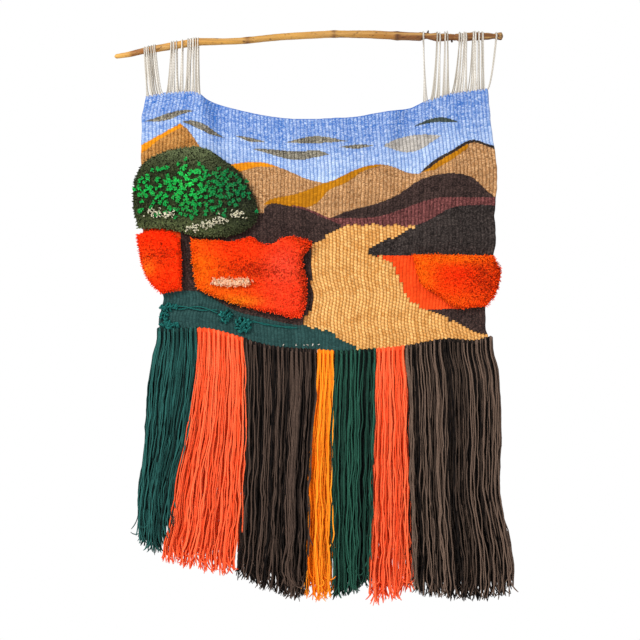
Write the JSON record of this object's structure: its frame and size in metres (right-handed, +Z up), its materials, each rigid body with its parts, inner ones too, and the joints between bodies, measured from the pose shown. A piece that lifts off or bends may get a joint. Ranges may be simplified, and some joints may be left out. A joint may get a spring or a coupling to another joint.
{
  "type": "tapestry wall hanging",
  "caption": "Woven landscape tapestry hanging by cotton warp loops from a bent branch, with cut-pile tree and hedges and a long coloured yarn fringe that swings.",
  "frame": {"origin": "on the branch's centreline at the middle of its bare span, where the hanging is balanced on its hook", "axes": "+Z up along the long way of the hanging, +X to the right along the branch seen from the front, +Y through the cloth towards the wall"},
  "size_m": [0.6591, 0.0362, 0.9461],
  "materials": {
    "peeled_branch": "peeled, weathered, satin",
    "warp_cotton": "twisted cotton cord, matt",
    "sky_blue_wool": "two blues blended, wool yarn, matt",
    "grey_wool": "wool yarn, matt",
    "pale_grey_wool": "wool yarn, matt",
    "slate_wool": "wool yarn, matt",
    "tan_wool": "heathered wool yarn, matt",
    "orange_wool": "wool yarn, matt",
    "gold_wool": "wool yarn, matt",
    "dark_brown_wool": "wool yarn, matt",
    "mauve_wool": "heathered wool yarn, matt",
    "charcoal_wool": "wool yarn, matt",
    "jute": "two-ply jute, coarse",
    "forest_wool": "cut pile, wool yarn, matt",
    "emerald_wool": "cut pile, wool yarn, matt",
    "cream_wool": "wool yarn, matt",
    "hedge_orange_wool": "brushed cut pile, orange to red",
    "flame_wool": "wool yarn, matt",
    "teal_wool": "wool yarn, matt",
    "bright_teal_wool": "wool yarn, matt",
    "fringe_teal_yarn": "twisted yarn",
    "fringe_coral_yarn": "twisted yarn",
    "fringe_dark_brown_yarn": "twisted yarn",
    "fringe_orange_yarn": "twisted yarn",
    "fringe_dark_green_yarn": "twisted yarn",
    "fringe_black_brown_yarn": "twisted yarn"
  },
  "bodies": {
    "branch": {"branch": "peeled_branch", "warp_loops_left": "warp_cotton", "warp_loops_right": "warp_cotton"},
    "tapestry": {"brown_ground_left": "dark_brown_wool", "brown_ground_right": "dark_brown_wool", "charcoal_hill": "charcoal_wool", "dark_cloud": "slate_wool", "gold_ridge": "gold_wool", "grey_clouds": "grey_wool", "hedge_centre": "hedge_orange_wool", "hedge_cream_streak": "cream_wool", "hedge_ground_centre": "flame_wool", "hedge_ground_left": "flame_wool", "hedge_ground_right": "flame_wool", "hedge_left": "hedge_orange_wool", "hedge_right": "hedge_orange_wool", "jute_path": "jute", "left_dark_hill": "dark_brown_wool", "left_hill_mauve_edge": "mauve_wool", "left_peak": "tan_wool", "left_peak_sunlit_edge": "orange_wool", "mauve_hill": "mauve_wool", "orange_flat_weave": "flame_wool", "pale_cloud": "pale_grey_wool", "right_dark_hill": "dark_brown_wool", "right_hill_outline": "charcoal_wool", "right_hill_sunlit_edge": "gold_wool", "right_tan_hills": "tan_wool", "second_hill": "tan_wool", "second_hill_sunlit_edge": "orange_wool", "sky": "sky_blue_wool", "teal_braid_lower": "bright_teal_wool", "teal_braid_upper": "bright_teal_wool", "teal_loop_knot": "bright_teal_wool", "teal_meadow": "teal_wool", "teal_tufts": "bright_teal_wool", "tree_cream_tufts": "cream_wool", "tree_crown": "forest_wool", "tree_green_tufts": "emerald_wool", "tree_ground": "forest_wool", "tree_trunk": "dark_brown_wool", "warp_ends": "warp_cotton", "warp_left_1": "warp_cotton", "warp_left_2": "warp_cotton", "warp_left_3": "warp_cotton", "warp_left_4": "warp_cotton", "warp_right_1": "warp_cotton", "warp_right_2": "warp_cotton", "warp_right_3": "warp_cotton", "warp_right_4": "warp_cotton", "warp_right_5": "warp_cotton", "warp_right_6": "warp_cotton", "warp_right_7": "warp_cotton"},
    "fringe_teal": {"fringe_teal": "fringe_teal_yarn"},
    "fringe_coral_left": {"fringe_coral_left": "fringe_coral_yarn"},
    "fringe_dark_brown": {"fringe_dark_brown": "fringe_dark_brown_yarn"},
    "fringe_orange": {"fringe_orange": "fringe_orange_yarn"},
    "fringe_dark_green": {"fringe_dark_green": "fringe_dark_green_yarn"},
    "fringe_coral_right": {"fringe_coral_right": "fringe_coral_yarn"},
    "fringe_black_brown": {"fringe_black_brown": "fringe_black_brown_yarn"}
  },
  "joints": [
    {"name": "tapestry_swing", "type": "hinge", "parent": "branch", "child": "tapestry", "pos_m": [0, 0, -0.0245], "axis": [-0.9993, 0, -0.0377], "range_deg": [-25, 40]},
    {"name": "fringe_teal_swing", "type": "hinge", "parent": "tapestry", "child": "fringe_teal", "pos_m": [-0.215, 0, -0.486], "axis": [-1, 0, 0], "range_deg": [-25, 30]},
    {"name": "fringe_coral_left_swing", "type": "hinge", "parent": "tapestry", "child": "fringe_coral_left", "pos_m": [-0.147, 0, -0.502], "axis": [-1, 0, 0], "range_deg": [-25, 30]},
    {"name": "fringe_dark_brown_swing", "type": "hinge", "parent": "tapestry", "child": "fringe_dark_brown", "pos_m": [-0.048, 0, -0.521], "axis": [-1, 0, 0], "range_deg": [-25, 30]},
    {"name": "fringe_orange_swing", "type": "hinge", "parent": "tapestry", "child": "fringe_orange", "pos_m": [0.027, 0, -0.523], "axis": [-1, 0, 0], "range_deg": [-25, 30]},
    {"name": "fringe_dark_green_swing", "type": "hinge", "parent": "tapestry", "child": "fringe_dark_green", "pos_m": [0.076, 0, -0.523], "axis": [-1, 0, 0], "range_deg": [-25, 30]},
    {"name": "fringe_coral_right_swing", "type": "hinge", "parent": "tapestry", "child": "fringe_coral_right", "pos_m": [0.132, 0, -0.519], "axis": [-1, 0, 0], "range_deg": [-25, 30]},
    {"name": "fringe_black_brown_swing", "type": "hinge", "parent": "tapestry", "child": "fringe_black_brown", "pos_m": [0.226, 0, -0.515], "axis": [-1, 0, 0], "range_deg": [-25, 30]}
  ]
}
